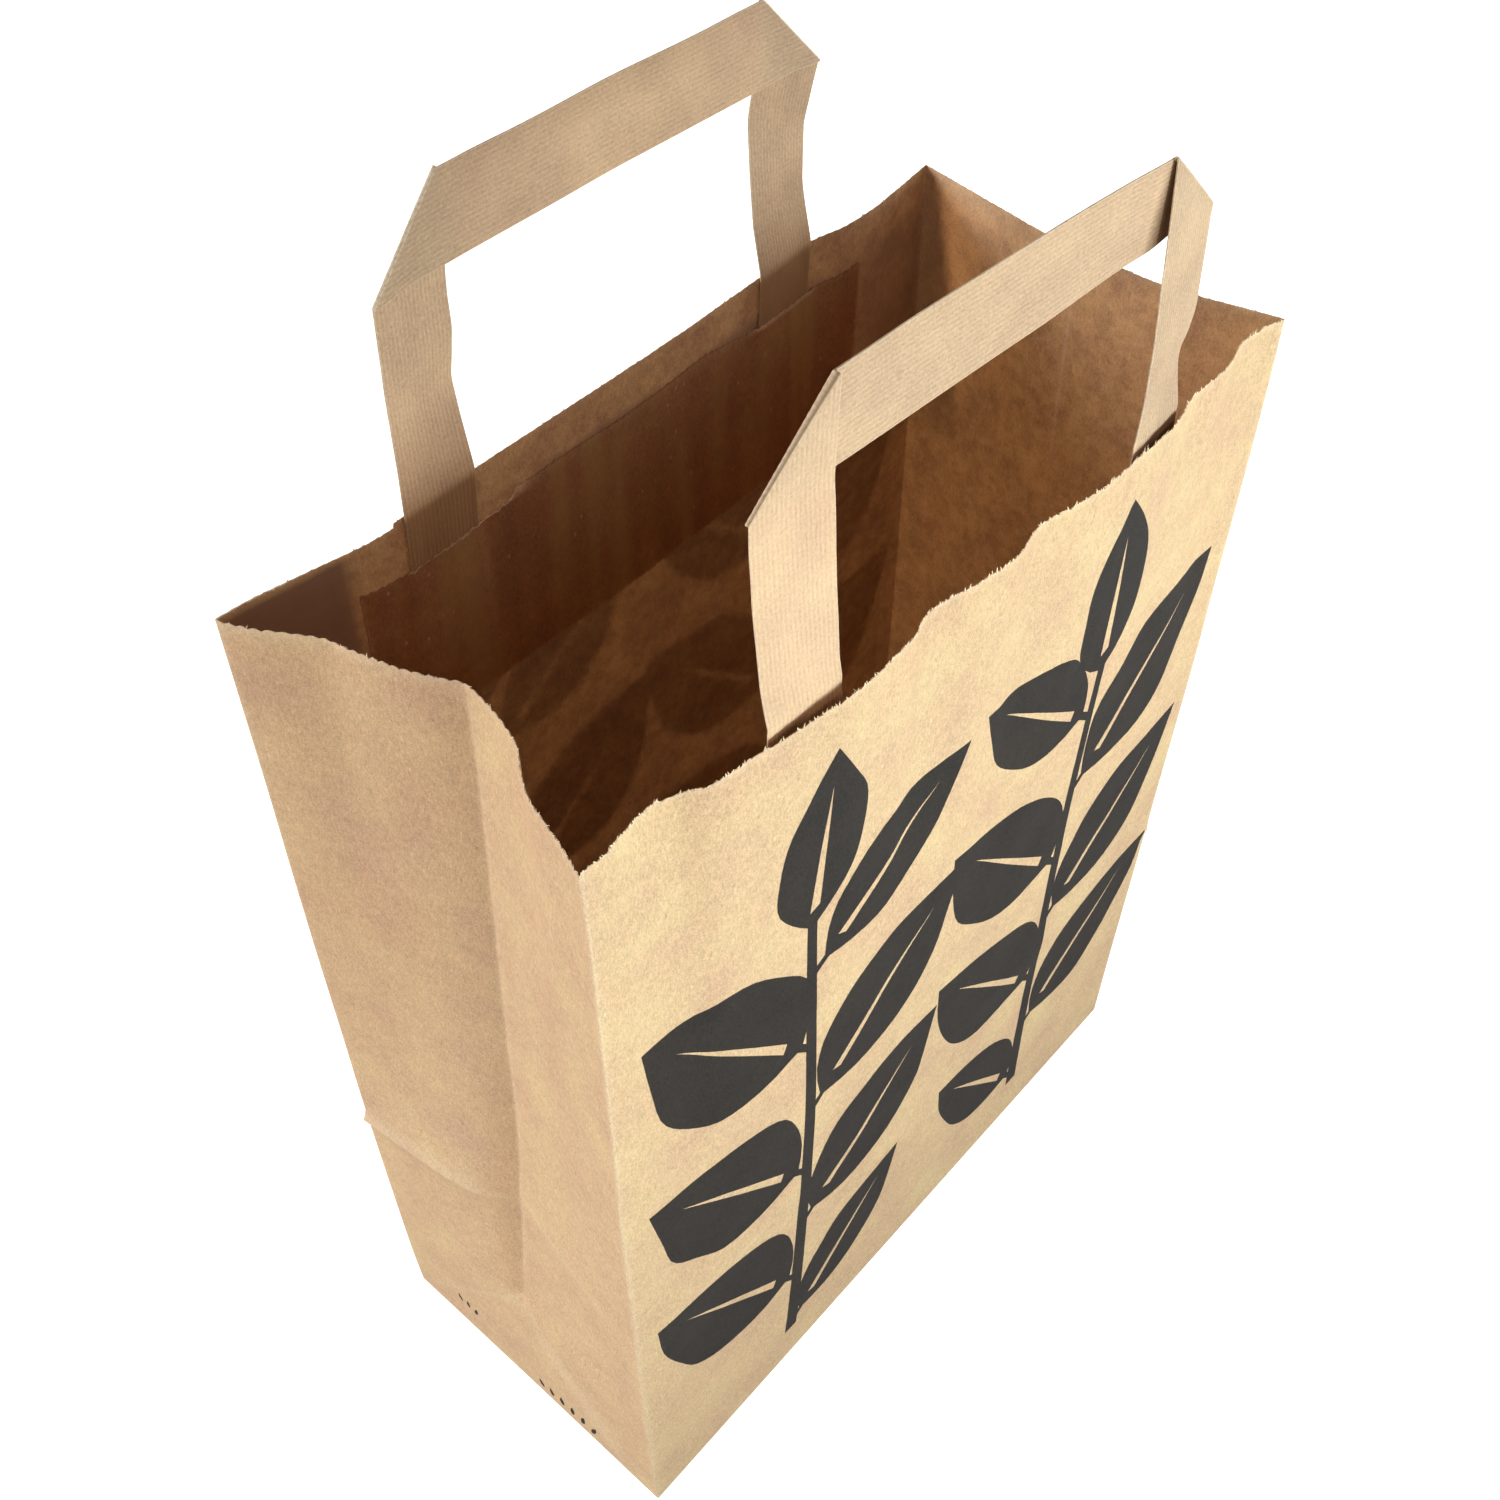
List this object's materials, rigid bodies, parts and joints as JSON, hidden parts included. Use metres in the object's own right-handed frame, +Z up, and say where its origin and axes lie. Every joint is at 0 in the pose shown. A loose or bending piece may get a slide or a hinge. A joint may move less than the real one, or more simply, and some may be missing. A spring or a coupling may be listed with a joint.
{
  "type": "paper carrier bag",
  "caption": "Upright kraft paper carrier bag with side gussets, a flat folded bottom, flat tape handles folded at their corners, and glued reinforcing patches inside.",
  "frame": {"origin": "centre of the bottom, on the surface the bag stands on", "axes": "+Z up through the mouth, +X along the front panel to its right-hand edge, +Y from the front panel to the back panel"},
  "size_m": [0.2234, 0.1061, 0.3437],
  "materials": {
    "body_kraft": "uncoated brown kraft paper with a bold charcoal print on front and back",
    "handle_tape": "finely ribbed brown kraft tape",
    "patch_kraft": "uncoated brown kraft paper"
  },
  "bodies": {
    "root": {"bag_body": "body_kraft", "handle_front": "handle_tape", "handle_back": "handle_tape", "handle_patch_front": "patch_kraft", "handle_patch_back": "patch_kraft"}
  },
  "joints": []
}
